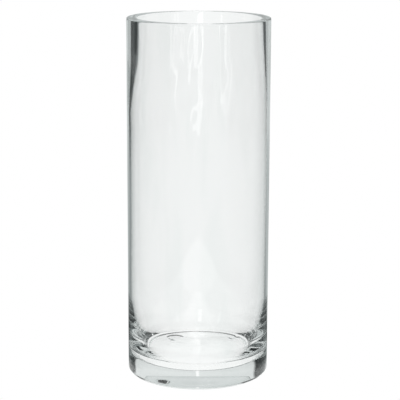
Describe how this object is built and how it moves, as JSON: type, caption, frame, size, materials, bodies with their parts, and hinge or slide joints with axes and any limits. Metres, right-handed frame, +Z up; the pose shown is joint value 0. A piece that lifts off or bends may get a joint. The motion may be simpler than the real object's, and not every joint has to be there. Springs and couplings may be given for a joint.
{
  "type": "glass cylinder vase",
  "caption": "Straight clear glass cylinder vase with a thick solid base, a fire-polished bead at the rim and a shallow kick-up under the foot.",
  "frame": {"origin": "centre of the foot, on the surface the vase stands on", "axes": "+Z up along the axis of the cylinder, out of the mouth; the body is round, so X and Y have no front"},
  "size_m": [0.0986, 0.0986, 0.25],
  "materials": {
    "clear_glass": "clear soda-lime glass, fire polished, with a faint green-grey cast that shows at the rim and in the thick base"
  },
  "bodies": {
    "root": {"glass_body": "clear_glass"}
  },
  "joints": []
}
